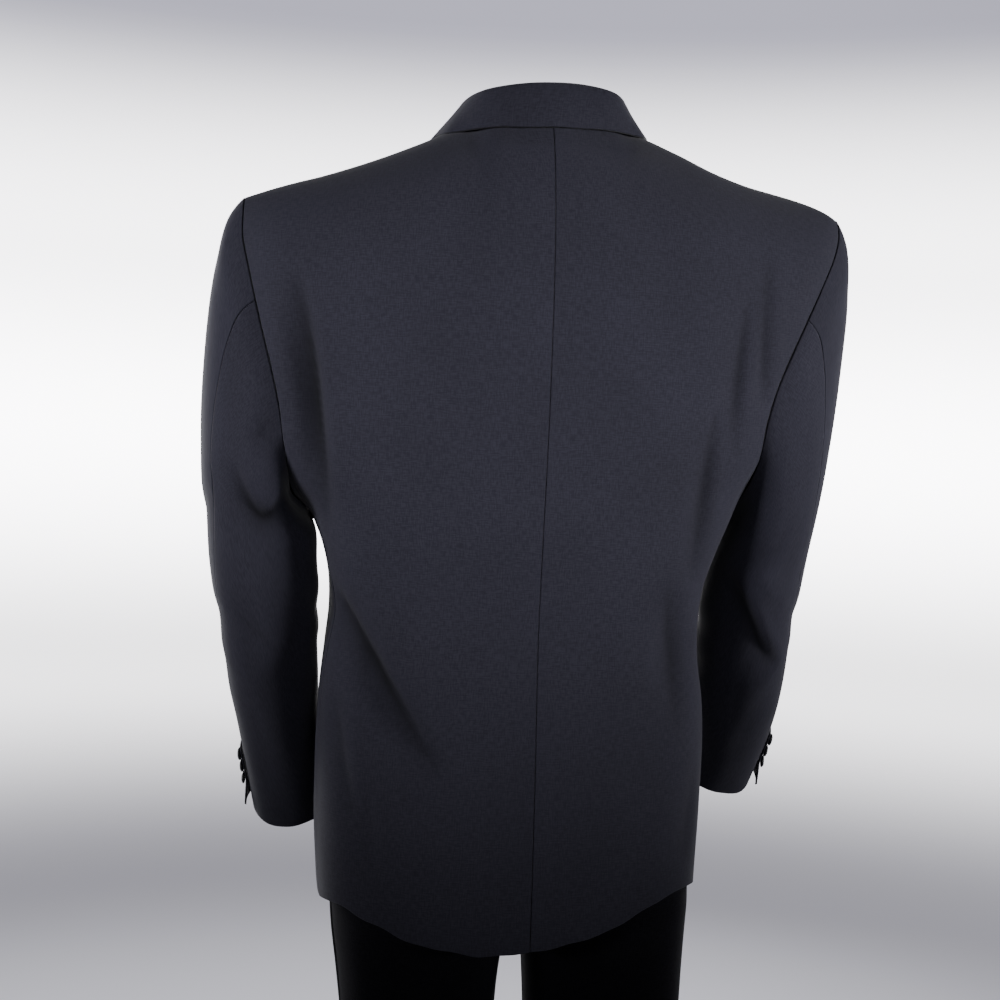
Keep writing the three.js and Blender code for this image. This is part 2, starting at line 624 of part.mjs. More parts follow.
function collarProfile(side, row) {
  const tilt = (-side * row.foldX) / 25; // the wearer's right side of the neck stands a little higher
  let foot;
  if (row.facing > 0 && row.footRoll === 0) {
    const angle = angleOfWidth(side, 0, row.foot);
    foot = bodyPoint(side, 1, angle, fullest, neckRoll(side, angle, fullest));
    foot.z += 1.7;
    const inward = new THREE.Vector3(-foot.x, sideLine - foot.y, 0).normalize();
    foot.addScaledVector(inward, clothWall);
  } else {
    foot = rolledPlace(side, row.facing, row.foot, row.footRoll, clothWall + 0.7);
    foot.x -= side * clothWall * smooth((row.footRoll - 42) / 20);
  }
  const fold = new THREE.Vector3(side * row.foldX, row.foldY, row.foldZ + tilt);
  const edge = rolledPlace(side, row.facing, row.edge, row.edgeRoll, collarLift);
  const out = edge.clone().sub(foot);
  out.addScaledVector(fold.clone().sub(foot).normalize(), -out.dot(fold.clone().sub(foot).normalize())).normalize();
  const up = fold.clone().sub(foot).normalize();
  const before = fold.clone().addScaledVector(out, -foldRadius).addScaledVector(up, -foldRadius);
  const after = fold.clone().addScaledVector(out, foldRadius).addScaledVector(up, -foldRadius);
  const points = [foot, foot.clone().lerp(before, 0.5), before, fold, after];
  const belly = after.clone().lerp(edge, 0.5).addScaledVector(out, 1.2);
  for (const t of [0.33, 0.67]) {
    const point = after.clone().multiplyScalar((1 - t) ** 2);
    point.addScaledVector(belly, 2 * t * (1 - t)).addScaledVector(edge, t * t);
    points.push(point);
  }
  points.push(edge);
  return points;
}

{
  const left = collarRows.map((row) => collarProfile(1, row));
  const right = collarRows.slice(1).map((row) => collarProfile(-1, row));
  const grid = [...left.slice().reverse(), ...right];
  const normals = gridNormals(grid, (point) => point.clone().setZ(-300));
  addPiece("collar", wallGeometry(grid, normals), fineWool);
}

// Lapels: satin facings that turn out at the roll line and lie on the fronts
const lapelRows = [
  { z: -62, width: 78 },
  { z: -90, width: 79 },
  { z: -125, width: 77 },
  { z: -165, width: 71 },
  { z: -205, width: 63 },
  { z: -245, width: 53 },
  { z: -285, width: 41 },
  { z: -320, width: 29 },
  { z: -350, width: 18 },
  { z: -385, width: 6 },
];
// How far the top of a lapel, across its width, lies under the level of its first row
const gorgeRows = [
  { across: 0, drop: 0 },
  { across: 0.25, drop: 3 },
  { across: 0.46, drop: 5 },
  { across: 0.52, drop: 10 },
  { across: 0.76, drop: 14 },
  { across: 1, drop: 16 },
];
const lapelLift = clothWall + satinWall - 0.6;
const lapelRoll = 3;
const rightLapelEnd = -350;

for (const side of [1, -1]) {
  const rows = lapelRows.filter((row) => side > 0 || row.z >= rightLapelEnd);
  const grid = rows.map((row, i) =>
    gorgeRows.map(({ across, drop }) => {
      const z = row.z - drop * Math.max(0, 1 - i / 3);
      const edge = follow(frontEdgeRows, "z", "x", z);
      const start = side > 0 ? edge : Math.max(edge, 1 - edge);
      const x = mix(start, edge + row.width, across);
      const belly = lapelRoll * Math.sin(Math.PI * Math.min(1, across * 1.6 + 0.12)) ** 2;
      return raised(side, -1, x, z, lapelLift + belly * Math.min(1, row.width / 30));
    }),
  );
  const normals = gridNormals(grid, (point) => point.clone().setY(point.y + 50));
  addPiece("lapel_" + sideName(side), wallGeometry(grid, normals, satinWall), satin);
}

// Flat pieces that lie on a front, between two distances from the middle
function frontPatch(side, fromX, toX, z, height, slope, steps) {
  const lift = 2 * seamGap + satinWall;
  const grid = [0, 1].map((row) =>
    Array.from({ length: steps + 1 }, (_, step) => {
      const along = step / steps;
      return raised(side, -1, mix(fromX, toX, along), z - row * height + slope * along, lift);
    }),
  );
  const normals = gridNormals(grid, (point) => point.clone().setY(point.y + 50));
  return wallGeometry(grid, normals, satinWall);
}

addPiece("breast_welt", frontPatch(1, 104, 196, -232, 22, 12, 6), fineWool);
for (const side of [1, -1]) {
  addPiece("pocket_jets_" + sideName(side), frontPatch(side, 58, 150, -520, 10, 0, 8), satin);
}

// A covered button: domed over, flat under
function buttonGeometry(radius, height) {
  const profile = [
    new THREE.Vector2(0, 0),
    new THREE.Vector2(radius * 0.86, 0),
    new THREE.Vector2(radius, height * 0.35),
    new THREE.Vector2(radius * 0.9, height * 0.75),
    new THREE.Vector2(radius * 0.5, height * 0.97),
    new THREE.Vector2(0, height),
  ];
  return new THREE.LatheGeometry(profile, 14);
}

function addButton(name, radius, height, place, normal) {
  const button = addPiece(name, buttonGeometry(radius, height), buttonCloth);
  button.position.copy(place);
  button.quaternion.setFromUnitVectors(new THREE.Vector3(0, 1, 0), normal);
}

const frontButton = { z: -398, radius: 10, height: 4.5 };
addButton(
  "front_button",
  frontButton.radius,
  frontButton.height,
  raised(1, -1, 0, frontButton.z, 0.5),
  raised(1, -1, 0, frontButton.z, 1).sub(onBody(1, -1, 0, frontButton.z)),
);

// Vent flaps: the lower end of each hindarm seam laps over and springs open, with three buttons on it
const ventFlap = {
  1: { top: 6.15, buttons: [6.48, 6.87, 7.26], spring: 6, from: -16, to: 14 },
  [-1]: { top: 6.05, buttons: [6.38, 6.82, 7.26], spring: 7, from: 1, to: 31 },
};
const ventSteps = 5;
const sleeveButton = { radius: 6.4, height: 3.6 };

function onSleeve(side, place, degrees, height) {
  const k = Math.min(Math.floor(place), sleeveRows[side].length - 2);
  const point = ringPoint(side, k, degrees).lerp(ringPoint(side, k + 1, degrees), place - k);
  const centre = ringFrame(side, k).centre.lerp(ringFrame(side, k + 1).centre, place - k);
  return point.addScaledVector(point.clone().sub(centre).normalize(), height);
}

for (const side of [1, -1]) {
  const { top, buttons, spring, from, to } = ventFlap[side];
  const last = sleeveRows[side].length - 1;
  const heightAt = (place, across) => {
    const open = smooth((place - top - 0.9) / (last - top - 0.9));
    return seamGap + clothWall + 0.6 + spring * open * mix(0.4, 1, across);
  };
  const flapPoint = (place, across) => onSleeve(side, place, mix(from, to, across), heightAt(place, across));
  const grid = Array.from({ length: ventSteps + 1 }, (_, i) =>
    [0, 0.33, 0.67, 1].map((across) => flapPoint(mix(top, last - 0.04 - 0.12 * across, i / ventSteps), across)),
  );
  const normals = gridNormals(grid, (point) => point.clone().setX(point.x - side * 40));
  addPiece("vent_flap_" + sideName(side), wallGeometry(grid, normals), fineWool);
  buttons.forEach((place, n) => {
    const across = flapPoint(place, 0.8).sub(flapPoint(place, 0.2));
    const along = flapPoint(place + 0.2, 0.5).sub(flapPoint(place - 0.2, 0.5));
    const normal = across.cross(along).normalize();
    if (normal.x * side < 0) normal.negate();
    const seat = flapPoint(place, 0.5).addScaledVector(normal, 2 * seamGap);
    const name = "sleeve_button_" + sideName(side) + "_" + (n + 1);
    addButton(name, sleeveButton.radius, sleeveButton.height, seat, normal);
  });
}

// Trousers: the hips as half sections down to the crotch
const hipRows = [
  { z: -392, left: 149, right: 148, back: 93, front: 103 },
  { z: -430, left: 150, right: 149, back: 95, front: 104 },
  { z: -480, left: 162, right: 156, back: 100, front: 107 },
  { z: -540, left: 171, right: 161, back: 107, front: 109 },
  { z: -600, left: 173, right: 163, back: 112, front: 108 },
  { z: -660, left: 173, right: 162, back: 113, front: 104 },
  { z: -720, left: 171, right: 161, back: 112, front: 100 },
];
// and the legs as whole sections: their inner and outer sides, middle, and depth each way
const legRows = [
  { z: -600, leftIn: 4, leftOut: 173, rightIn: 4, rightOut: 163, y: 8, front: 92, back: 108 },
  { z: -700, leftIn: 6, leftOut: 171, rightIn: 5, rightOut: 161.5, y: 8, front: 90, back: 104 },
  { z: -770, leftIn: 13, leftOut: 163, rightIn: 11, rightOut: 160, y: 6, front: 86, back: 95 },
  { z: -810, leftIn: 15.5, leftOut: 158, rightIn: 14, rightOut: 160, y: 4, front: 84, back: 90 },
  { z: -950, leftIn: 22, leftOut: 154, rightIn: 20, rightOut: 157, y: 0, front: 80, back: 82 },
  { z: -1090, leftIn: 28, leftOut: 151, rightIn: 27, rightOut: 154, y: -2, front: 77, back: 77 },
  { z: -1290, leftIn: 33, leftOut: 149, rightIn: 33, rightOut: 151, y: 4, front: 72, back: 73 },
  { z: -1485, leftIn: 35, leftOut: 148, rightIn: 36, rightOut: 151, y: 4, front: 71, back: 72 },
];
const waistTop = -392;
const waistBottom = -430;
const crotchStart = -600;
const crotchLevel = -700;
const hipRound = 2.3;
const legRound = 2.15;
const trouserWall = 1.5;
const trouserLevels = [
  -430, -470, -520, -565, -600, -635, -660, -678, -690, crotchLevel, -725, -765, -815, -880, -960, -1050, -1150, -1260,
  -1375, -1485,
];
const trouserSteps = 7;

function trouserPoint(side, facing, u, z) {
  const name = sideName(side);
  const depth = facing > 0 ? "back" : "front";
  const quarter = (u * Math.PI) / 2;
  const hipX = follow(hipRows, "z", name, z) * Math.sin(quarter) ** (2 / hipRound);
  const hipY = sideLine + facing * follow(hipRows, "z", depth, z) * Math.max(0, Math.cos(quarter)) ** (2 / hipRound);
  const inner = follow(legRows, "z", name + "In", z);
  const outer = follow(legRows, "z", name + "Out", z);
  const cosine = Math.cos(u * Math.PI);
  const legX = (inner + outer) / 2 - ((outer - inner) / 2) * Math.sign(cosine) * Math.abs(cosine) ** (2 / legRound);
  const swell = follow(legRows, "z", depth, z) * Math.max(0, Math.sin(u * Math.PI)) ** (2 / legRound);
  const legY = follow(legRows, "z", "y", z) + facing * swell;
  const turn = THREE.MathUtils.clamp((crotchStart - z) / (crotchStart - crotchLevel), 0, 1) ** 2.5;
  const x = Math.max(seamGap / 2, mix(hipX, legX, turn));
  return new THREE.Vector3(side * x, mix(hipY, legY, turn) + (facing * seamGap) / 2, z);
}

for (const side of [1, -1]) {
  const panels = {};
  for (const facing of [1, -1]) {
    const grid = trouserLevels.map((z) =>
      Array.from({ length: trouserSteps + 1 }, (_, step) => trouserPoint(side, facing, step / trouserSteps, z)),
    );
    const inside = (point) => {
      const middle = trouserPoint(side, facing, 0.5, point.z).x;
      return new THREE.Vector3(middle * 0.9, 0, point.z);
    };
    panels[facing] = { grid, normals: gridNormals(grid, inside) };
  }
  matchSeam(panels[1].normals, trouserSteps, panels[-1].normals, trouserSteps);
  const crotchRow = trouserLevels.indexOf(crotchLevel);
  const inseam = (facing) => panels[facing].normals.slice(crotchRow);
  matchSeam(inseam(1), 0, inseam(-1), 0);
  for (const facing of [1, -1]) {
    const name = (facing > 0 ? "trouser_back_" : "trouser_front_") + sideName(side);
    addPiece(name, wallGeometry(panels[facing].grid, panels[facing].normals, trouserWall), trouserWool);
  }
  const braidLift = seamGap + braidWall;
  const reach = 0.055;
  const braid = trouserLevels.map((z) =>
    [-1, 0, 1].map((step) => {
      const point = trouserPoint(side, step || 1, 1 - Math.abs(step) * reach, z);
      if (step === 0) point.y -= seamGap / 2;
      point.x += side * (braidLift + (step === 0 ? 0 : 0.3));
      return point;
    }),
  );
  const braidNormals = gridNormals(braid, (point) => point.clone().setX(0));
  addPiece("side_braid_" + sideName(side), wallGeometry(braid, braidNormals, braidWall), satin);
}

// Waistband: one strip round the waist, its left end lapped over the right at the front
{
  const steps = 30;
  const lap = 0.16; // turn of the lapped end
  const grid = [waistTop, waistBottom + seamGap].map((z) =>
    Array.from({ length: steps + 1 }, (_, step) => {
      const turn = mix(-Math.PI, Math.PI + lap, step / steps);
      const side = Math.sin(turn) >= 0 ? 1 : -1;
      const facing = Math.cos(turn) >= 0 ? 1 : -1;
      const folded = Math.abs(Math.atan2(Math.sin(turn), Math.cos(turn) * facing));
      const flat = Math.min(folded, Math.PI - folded);
      const half = follow(hipRows, "z", sideName(side), z);
      const deep = follow(hipRows, "z", facing > 0 ? "back" : "front", z);
      const out = (clothWall + 0.6) * smooth((turn - Math.PI + 3 * lap) / (2 * lap));
      const x = side * (half + out) * Math.sin(flat) ** (2 / hipRound);
      const y = sideLine + facing * (deep + out) * Math.max(0, Math.cos(flat)) ** (2 / hipRound);
      return new THREE.Vector3(x, y, z);
    }),
  );
  const normals = gridNormals(grid, new THREE.Vector3(0, 0, (waistTop + waistBottom) / 2));
  addPiece("waistband", wallGeometry(grid, normals, trouserWall), trouserWool);
}

export default suit;
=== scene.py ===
import math

import bmesh
import bpy
import numpy as np
from mathutils import Matrix, Vector


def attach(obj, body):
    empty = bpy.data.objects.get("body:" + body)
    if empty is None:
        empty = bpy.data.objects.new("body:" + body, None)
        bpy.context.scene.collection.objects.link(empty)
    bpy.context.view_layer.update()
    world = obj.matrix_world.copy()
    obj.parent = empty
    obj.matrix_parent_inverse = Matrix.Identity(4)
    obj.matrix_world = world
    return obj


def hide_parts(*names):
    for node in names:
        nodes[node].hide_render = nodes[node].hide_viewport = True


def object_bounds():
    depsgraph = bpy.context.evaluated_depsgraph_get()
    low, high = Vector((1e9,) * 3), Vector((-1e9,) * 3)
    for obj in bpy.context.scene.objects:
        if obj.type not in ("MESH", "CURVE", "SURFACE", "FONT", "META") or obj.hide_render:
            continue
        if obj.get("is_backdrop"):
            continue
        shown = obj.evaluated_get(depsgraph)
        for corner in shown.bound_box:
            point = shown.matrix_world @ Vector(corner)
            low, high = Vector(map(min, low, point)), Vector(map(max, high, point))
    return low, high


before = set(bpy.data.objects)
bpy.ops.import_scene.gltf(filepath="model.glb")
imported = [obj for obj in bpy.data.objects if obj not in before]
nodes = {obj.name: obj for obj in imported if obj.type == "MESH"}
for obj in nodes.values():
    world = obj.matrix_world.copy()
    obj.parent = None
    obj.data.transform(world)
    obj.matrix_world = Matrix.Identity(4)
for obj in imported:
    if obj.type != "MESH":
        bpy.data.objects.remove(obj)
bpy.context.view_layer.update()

# Camera
# It stands 1.25 m behind the suit and a little to the wearer's left, at the height of the middle of the
# back, and looks slightly down. It is tipped by two degrees.
view_turn, view_dip, view_tip = math.radians(6.5), math.radians(2.54), math.radians(2.1)
view_place = Vector((0.1676, 1.2527, -0.2792))
look = Vector((
    -math.sin(view_turn) * math.cos(view_dip),
    -math.cos(view_turn) * math.cos(view_dip),
    -math.sin(view_dip),
))
level = Vector((-math.cos(view_turn), math.sin(view_turn), 0))
upward = level.cross(look)
view_right = math.cos(view_tip) * level + math.sin(view_tip) * upward
view_up = math.cos(view_tip) * upward - math.sin(view_tip) * level
camera = bpy.data.objects.new("camera", bpy.data.cameras.new("camera"))
camera.data.sensor_width = 36
camera.data.lens = 48.672
camera.matrix_world = Matrix((view_right, view_up, -look)).transposed().to_4x4()
camera.location = view_place
bpy.context.scene.collection.objects.link(camera)
bpy.context.scene.camera = camera

# Floor, air and lights
# A pale floor just under the trousers melts into a pale grey-violet room, brightest beyond the suit. A soft
# light beside each shoulder lets the sleeves shine and the hollows by the body stay dark, and two light the
# front.
floor_height = -1.487
bpy.ops.object.select_all(action="DESELECT")
bpy.ops.mesh.primitive_plane_add(size=14, location=(0, 0, floor_height))
floor = bpy.context.object
floor.name = "floor"
bpy.ops.object.transform_apply(location=True, rotation=True, scale=True)
floor_paint = bpy.data.materials.new("floor_paint")
floor_paint.use_nodes = True
tree = floor_paint.node_tree
floor_shader = tree.nodes["Principled BSDF"]
floor_shader.inputs["Base Color"].default_value = (0.5, 0.5, 0.54, 1)
floor_shader.inputs["Roughness"].default_value = 0.85
floor_shader.inputs["Specular IOR Level"].default_value = 0.1
floor_shader.inputs["Emission Color"].default_value = (0.33, 0.325, 0.37, 1)
floor_shader.inputs["Emission Strength"].default_value = 1
floor_place = tree.nodes.new("ShaderNodeTexCoord")
reach = tree.nodes.new("ShaderNodeVectorMath")
reach.operation = "DISTANCE"
reach.inputs[1].default_value = (0, 0, floor_height)
tree.links.new(floor_place.outputs["Object"], reach.inputs[0])
melt = tree.nodes.new("ShaderNodeMapRange")
melt.interpolation_type = "SMOOTHSTEP"
melt.inputs["From Min"].default_value = 2.2
melt.inputs["From Max"].default_value = 5.5
melt.inputs["To Min"].default_value = 1
melt.inputs["To Max"].default_value = 0
tree.links.new(reach.outputs["Value"], melt.inputs["Value"])
tree.links.new(melt.outputs["Result"], floor_shader.inputs["Alpha"])
floor.data.materials.append(floor_paint)
floor.visible_diffuse = False
floor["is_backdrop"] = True

room = bpy.data.worlds.new("room")
bpy.context.scene.world = room
room.use_nodes = True
tree = room.node_tree
air = tree.nodes["Background"]
way = tree.nodes.new("ShaderNodeTexCoord")
split = tree.nodes.new("ShaderNodeSeparateXYZ")
tree.links.new(way.outputs["Generated"], split.inputs["Vector"])
rows = tree.nodes.new("ShaderNodeValToRGB")
rows.color_ramp.interpolation = "EASE"
tones = [(0.2, 0.38), (0.32, 0.46), (0.42, 3), (0.5, 10), (0.565, 5.5), (0.645, 0.62), (0.8, 0.12)]
for spot, tone in tones:
    mark = rows.color_ramp.elements.new(spot)
    violet = 1.02 if tone > 1 else 1.2
    mark.color = (tone, tone * 0.985, tone * violet, 1)
rows.color_ramp.elements.remove(rows.color_ramp.elements[0])
rows.color_ramp.elements.remove(rows.color_ramp.elements[-1])
height = tree.nodes.new("ShaderNodeMapRange")
height.inputs["From Min"].default_value = -1
height.inputs["From Max"].default_value = 1
tree.links.new(split.outputs["Z"], height.inputs["Value"])
tree.links.new(height.outputs["Result"], rows.inputs["Fac"])
depth = tree.nodes.new("ShaderNodeMapRange")
depth.interpolation_type = "SMOOTHSTEP"
depth.inputs["From Min"].default_value = -0.93
depth.inputs["From Max"].default_value = -0.55
depth.inputs["To Min"].default_value = 1
depth.inputs["To Max"].default_value = 0.24
tree.links.new(split.outputs["Y"], depth.inputs["Value"])
tree.links.new(rows.outputs["Color"], air.inputs["Color"])
tree.links.new(depth.outputs["Result"], air.inputs["Strength"])
room.cycles_visibility.diffuse = False

soft_lights = [
    {
        "name": "box_left", "place": (1.9, 0.95, -0.1), "aim": (0.03, 0, -0.22),
        "size": 0.6, "power": 1.85, "spread": 24,
    },
    {
        "name": "box_right", "place": (-1.9, 0.95, -0.1), "aim": (-0.03, 0, -0.22),
        "size": 0.6, "power": 2, "spread": 24,
    },
    {
        "name": "box_behind", "place": (-0.3, 2.2, -0.1), "aim": (0, 0, -0.2),
        "size": 0.7, "power": 0.5, "spread": 19,
    },
    {
        "name": "box_front", "place": (-0.9, -2.3, 0.2), "aim": (0, 0, -0.5),
        "size": 1.4, "power": 38, "spread": 120,
    },
    {
        "name": "box_low", "place": (1.7, -1.9, -0.1), "aim": (0, 0, -0.7),
        "size": 1.2, "power": 20, "spread": 120,
    },
]
for row in soft_lights:
    bpy.ops.object.light_add(type="AREA", location=row["place"])
    lamp = bpy.context.object
    lamp.name = row["name"]
    lamp.data.size = row["size"]
    lamp.data.energy = row["power"]
    lamp.data.spread = math.radians(row["spread"])
    toward = Vector(row["aim"]) - lamp.location
    lamp.rotation_euler = toward.to_track_quat("-Z", "Y").to_euler()


# Jacket cloth
# A fine dark worsted in a plain weave, navy-charcoal, with a little pale fibre in it. Every wool panel of
# the jacket is cut from it, and its threads run along the panel. Seam grooves and deep folds get painted
# shade: a mesh attribute, filled in sew(), darkens their base colour towards black.
def weave_cloth(name, dark, pale, thread, rough, sheen, contrast, bump, shine=0.1):
    cloth = bpy.data.materials.new(name)
    cloth.use_nodes = True
    tree = cloth.node_tree
    shader = tree.nodes["Principled BSDF"]
    shader.inputs["Roughness"].default_value = rough
    shader.inputs["Specular IOR Level"].default_value = shine
    shader.inputs["Sheen Weight"].default_value = sheen
    shader.inputs["Sheen Roughness"].default_value = 0.45
    place = tree.nodes.new("ShaderNodeUVMap")
    place.uv_map = "cloth"
    drawn_out = 0.16
    across = tree.nodes.new("ShaderNodeMapping")
    across.inputs["Scale"].default_value = (1 / thread, drawn_out / thread, 1)
    along = tree.nodes.new("ShaderNodeMapping")
    along.inputs["Scale"].default_value = (drawn_out / thread, 1 / thread, 1)
    yarns = []
    for mapping in (across, along):
        tree.links.new(place.outputs["UV"], mapping.inputs["Vector"])
        yarn = tree.nodes.new("ShaderNodeTexNoise")
        yarn.inputs["Scale"].default_value = 1
        yarn.inputs["Detail"].default_value = 2
        tree.links.new(mapping.outputs["Vector"], yarn.inputs["Vector"])
        yarns.append(yarn)
    slub = tree.nodes.new("ShaderNodeMath")
    slub.operation = "MULTIPLY"
    tree.links.new(yarns[0].outputs["Fac"], slub.inputs[0])
    tree.links.new(yarns[1].outputs["Fac"], slub.inputs[1])
    blotch = tree.nodes.new("ShaderNodeTexNoise")
    blotch.inputs["Scale"].default_value = 9
    blotch.inputs["Detail"].default_value = 3
    tree.links.new(place.outputs["UV"], blotch.inputs["Vector"])
    spread = tree.nodes.new("ShaderNodeMapRange")
    spread.inputs["From Min"].default_value = 0.25 - contrast
    spread.inputs["From Max"].default_value = 0.25 + contrast
    tree.links.new(slub.outputs["Value"], spread.inputs["Value"])
    tint = tree.nodes.new("ShaderNodeMix")
    tint.data_type = "RGBA"
    tint.inputs["A"].default_value = (*dark, 1)
    tint.inputs["B"].default_value = (*pale, 1)
    tree.links.new(spread.outputs["Result"], tint.inputs["Factor"])
    worn = tree.nodes.new("ShaderNodeMix")
    worn.data_type = "RGBA"
    worn.blend_type = "MULTIPLY"
    worn.inputs["Factor"].default_value = 0.35
    tree.links.new(tint.outputs["Result"], worn.inputs["A"])
    tree.links.new(blotch.outputs["Fac"], worn.inputs["B"])
    # Painted shade: where the mesh attribute is high, in seam grooves and deep creases, the base colour is
    # mixed towards a near-black copy of the dark tone.
    painted_shade = tree.nodes.new("ShaderNodeAttribute")
    painted_shade.attribute_name = "painted_shade"
    painted_shade_mix = tree.nodes.new("ShaderNodeMix")
    painted_shade_mix.data_type = "RGBA"
    painted_shade_tone = 0.15
    painted_shade_mix.inputs["B"].default_value = (*(channel * painted_shade_tone for channel in dark), 1)
    tree.links.new(painted_shade.outputs["Fac"], painted_shade_mix.inputs["Factor"])
    tree.links.new(worn.outputs["Result"], painted_shade_mix.inputs["A"])
    tree.links.new(painted_shade_mix.outputs["Result"], shader.inputs["Base Color"])
    emboss = tree.nodes.new("ShaderNodeBump")
    emboss.inputs["Distance"].default_value = bump
    emboss.inputs["Strength"].default_value = 0.5
    tree.links.new(slub.outputs["Value"], emboss.inputs["Height"])
    tree.links.new(emboss.outputs["Normal"], shader.inputs["Normal"])
    return cloth


jacket_wool = weave_cloth(
    "jacket_wool", dark=(0.0195, 0.0188, 0.03), pale=(0.0295, 0.0287, 0.0435), thread=0.0011,
    rough=0.85, sheen=0.07, contrast=0.1, bump=0.0002,
)


# Jacket body
# Two backs sewn at the middle, a side panel under each arm and two fronts, of worsted over canvas. Each
# panel is a thin wall on the form of its solid, with the wearing creases pressed into it.
wool_wall, satin_wall, trouser_wall, braid_wall = 0.0018, 0.0012, 0.0015, 0.0008
merge_distance = 0.00002


# The outer skin of a panel's solid as a grid of points, its top row first.
def panel_points(node, wall, behind):
    form = bmesh.new()
    form.from_mesh(nodes[node].data)
    bmesh.ops.remove_doubles(form, verts=form.verts, dist=merge_distance)
    near_wall = 0.00001
    rim = [f for f in form.faces if any(abs(e.calc_length() - wall) < near_wall for e in f.edges)]
    bmesh.ops.delete(form, geom=rim, context="FACES")
    form.normal_update()
    left_over = set(form.faces)
    best = None
    while left_over:
        todo = [left_over.pop()]
        skin = list(todo)
        while todo:
            for edge in todo.pop().edges:
                for other in edge.link_faces:
                    if other in left_over:
                        left_over.remove(other)
                        skin.append(other)
                        todo.append(other)
        out = 0
        for face in skin:
            middle = face.calc_center_median()
            out += (middle - behind(middle)).normalized().dot(face.normal) * face.calc_area()
        if best is None or out > best[0]:
            best = (out, skin)
    verts = {v for f in best[1] for v in f.verts}
    near = {v: {e.other_vert(v) for e in v.link_edges} for v in verts}
    along_edge = {v: [e.other_vert(v) for e in v.link_edges if e.is_boundary] for v in verts}
    corners = [v for v in verts if along_edge[v] and len(near[v]) < 4]
    lines = []
    for first in along_edge[corners[0]]:
        line = [corners[0], first]
        while line[-1] not in corners:
            line.append(next(v for v in along_edge[line[-1]] if v is not line[-2]))
        lines.append(line)
    rows = [lines[0]]
    for i in range(1, len(lines[1])):
        row = [lines[1][i]]
        for j in range(1, len(lines[0])):
            shared = near[rows[i - 1][j]] & near[row[j - 1]]
            row.append(next(v for v in shared if v is not rows[i - 1][j - 1]))
        rows.append(row)
    points = np.array([[v.co[:] for v in row] for row in rows])
    heights = points[:, :, 2]
    if np.ptp(heights.mean(1)) < np.ptp(heights.mean(0)):
        points = points.transpose(1, 0, 2)
    if points[0, :, 2].mean() < points[-1, :, 2].mean():
        points = points[::-1]
    inner = np.array([[behind(Vector(p))[:] for p in row] for row in points])
    if np.sum((points - inner) * square_to(points)) < 0:
        points = points[:, ::-1]
    form.free()
    return points


# The direction that each point of a grid faces.
def square_to(points):
    down = np.gradient(points, axis=0)
    over = np.gradient(points, axis=1)
    facing = np.cross(down, over)
    return facing / np.maximum(np.linalg.norm(facing, axis=2, keepdims=True), 1e-12)


# The same grid with points about as far apart as the spacing, on smooth curves through the old ones.
def finer(points, spacing):
    for axis in (0, 1):
        points = np.moveaxis(points, axis, 0)
        steps = np.linalg.norm(np.diff(points, axis=0), axis=2).mean(1)
        travel = np.concatenate(([0], np.cumsum(steps)))
        slope = np.gradient(points, travel, axis=0, edge_order=2 if len(travel) > 2 else 1)
        made = []
        for k, step in enumerate(steps):
            parts = max(1, round(step / spacing))
            for part in range(parts):
                t = part / parts
                keep = 1 - t
                place = points[k] * keep * keep * (1 + 2 * t) + points[k + 1] * t * t * (3 - 2 * t)
                made.append(place + step * t * keep * (slope[k] * keep - slope[k + 1] * t))
        made.append(points[-1])
        points = np.moveaxis(np.array(made), 0, axis)
    return points


seen_from = {"back": (0, 1, 0), "front": (0, -1, 0), "left": (1, 0, 0), "right": (-1, 0, 0)}


# A crease runs through three points, in mm across and up as seen from one side. Its near wall is as wide as
# the width and its far one as the fade, and a depth below zero makes it a ridge.
def crease(seen, start, middle, end, width, depth, fade=None, steep=1, late=1):
    return {
        "seen": seen, "path": (start, middle, end), "width": width, "depth": depth,
        "fade": fade or width * 1.6, "steep": steep, "late": late,
    }
